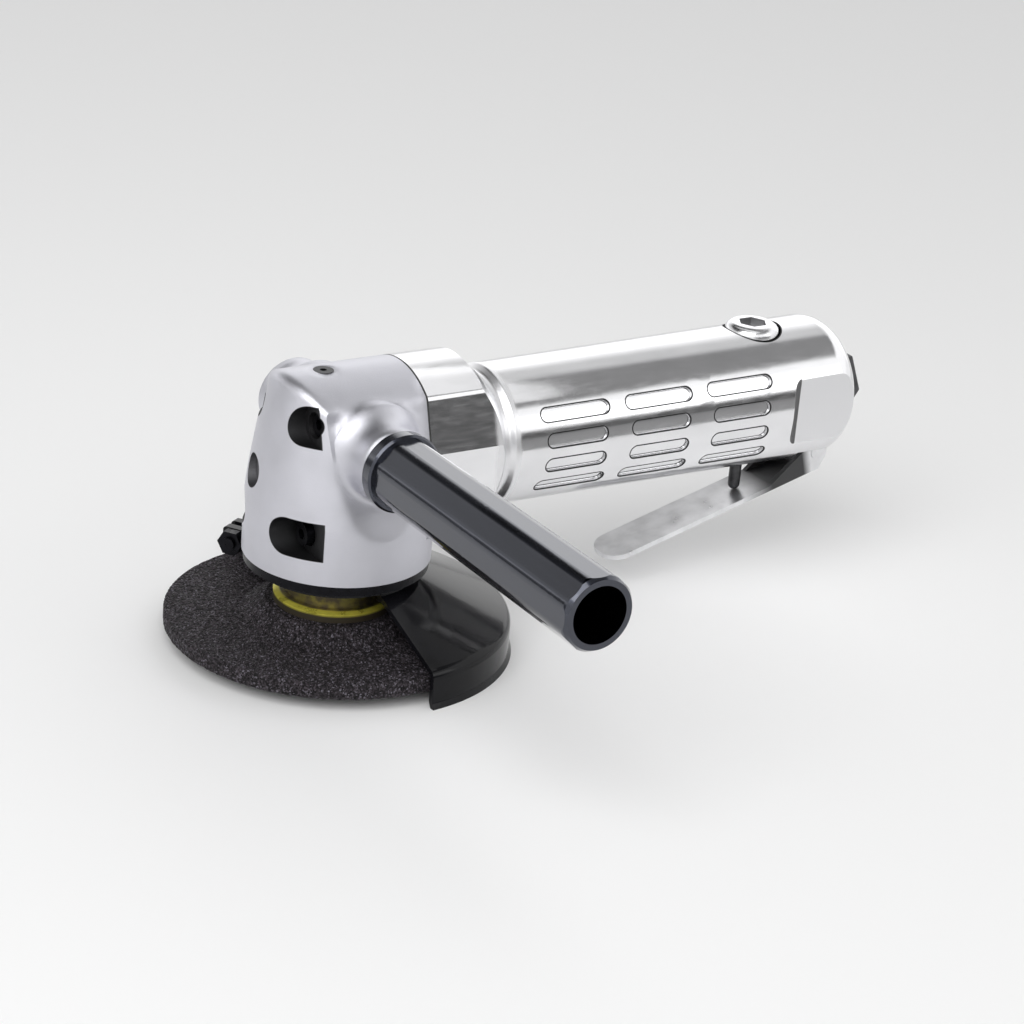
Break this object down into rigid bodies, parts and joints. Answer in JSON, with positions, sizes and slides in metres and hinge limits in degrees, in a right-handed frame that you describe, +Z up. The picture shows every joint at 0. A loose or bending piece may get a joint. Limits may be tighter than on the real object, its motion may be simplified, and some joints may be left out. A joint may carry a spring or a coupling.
{
  "type": "air angle grinder",
  "caption": "Pneumatic right angle grinder with a polished barrel, lever throttle, bevel gear head, depressed centre wheel, turning half guard and side grip.",
  "frame": {"origin": "on the spindle axis at the wheel seat, the lower face of the inner flange", "axes": "+Z up the spindle away from the wheel, +X along the barrel to the air inlet, so the side grip points to -Y"},
  "size_m": [0.233, 0.1887, 0.0862],
  "materials": {
    "polished_aluminium": "polished casting",
    "satin_aluminium": "satin casting",
    "gasket_sheet": "dark gasket sheet",
    "black_screw_steel": "black oxide steel",
    "guard_black": "gloss black coat",
    "yellow_zinc": "yellow passivated zinc on steel",
    "abrasive": "bonded dark grit",
    "bright_steel": "ground steel",
    "pressed_steel": "bright pressed steel",
    "dark_steel": "dark steel",
    "grip_black": "gloss black coat on aluminium tube",
    "seal_rubber": "black rubber",
    "vane_composite": "phenolic vane",
    "seat_brass": "turned brass"
  },
  "bodies": {
    "tool_body": {"motor_housing": "polished_aluminium", "gear_head": "satin_aluminium", "head_gasket": "gasket_sheet", "head_screw_1": "black_screw_steel", "head_screw_2": "black_screw_steel", "head_screw_3": "black_screw_steel", "head_screw_4": "black_screw_steel", "grease_fitting": "dark_steel", "lower_bearing": "bright_steel", "upper_bearing": "bright_steel", "bearing_cap": "black_screw_steel", "spindle_seal": "seal_rubber", "front_plate": "bright_steel", "front_bearing": "bright_steel", "motor_cylinder": "bright_steel", "rear_plate": "bright_steel", "rear_bearing": "bright_steel", "thrust_washer": "gasket_sheet", "valve_bush": "seat_brass", "valve_spring": "bright_steel", "valve_plug": "pressed_steel", "plug_seal": "seal_rubber", "inlet_bushing": "dark_steel", "inlet_screen": "seat_brass", "lever_pin": "dark_steel", "side_grip": "grip_black", "grip_bolt": "black_screw_steel"},
    "spindle_set": {"spindle": "bright_steel", "bevel_gear": "bright_steel", "gear_key": "bright_steel", "snap_ring": "dark_steel", "inner_flange": "yellow_zinc", "grinding_wheel": "abrasive", "flange_nut": "yellow_zinc"},
    "rotor_set": {"rotor": "bright_steel", "rotor_vane_1": "vane_composite", "rotor_vane_2": "vane_composite", "rotor_vane_3": "vane_composite", "rotor_vane_4": "vane_composite", "bevel_pinion": "bright_steel"},
    "guard_set": {"wheel_guard": "guard_black", "guard_clamp_screw": "black_screw_steel", "guard_clamp_nut": "black_screw_steel"},
    "lever": {"throttle_lever": "pressed_steel"},
    "valve": {"valve_stem": "dark_steel"}
  },
  "joints": [
    {"name": "spindle_spin", "type": "hinge", "parent": "tool_body", "child": "spindle_set", "pos_m": [0, 0, 0], "axis": [0, 0, 1], "continuous": true},
    {"name": "rotor_spin", "type": "hinge", "parent": "tool_body", "child": "rotor_set", "pos_m": [0.06, 0, 0.0457], "axis": [1, 0, 0], "continuous": true},
    {"name": "guard_turn", "type": "hinge", "parent": "tool_body", "child": "guard_set", "pos_m": [0, 0, 0.012], "axis": [0, 0, 1], "continuous": true},
    {"name": "lever_squeeze", "type": "hinge", "parent": "tool_body", "child": "lever", "pos_m": [0.171, 0, 0.0244], "axis": [0, 1, 0], "range_deg": [0, 10], "stiffness_Nm_per_rad": 2, "springref_deg": -14.32},
    {"name": "valve_slide", "type": "slide", "parent": "tool_body", "child": "valve", "axis": [0, 0, 1], "range_m": [0, 0.0048], "deforming": ["valve_spring"]}
  ],
  "couplings": [
    {"joint": "rotor_spin", "follows": "spindle_spin", "ratio": 2.0769},
    {"joint": "valve_slide", "follows": "lever_squeeze", "m_per_rad": 0.027}
  ]
}
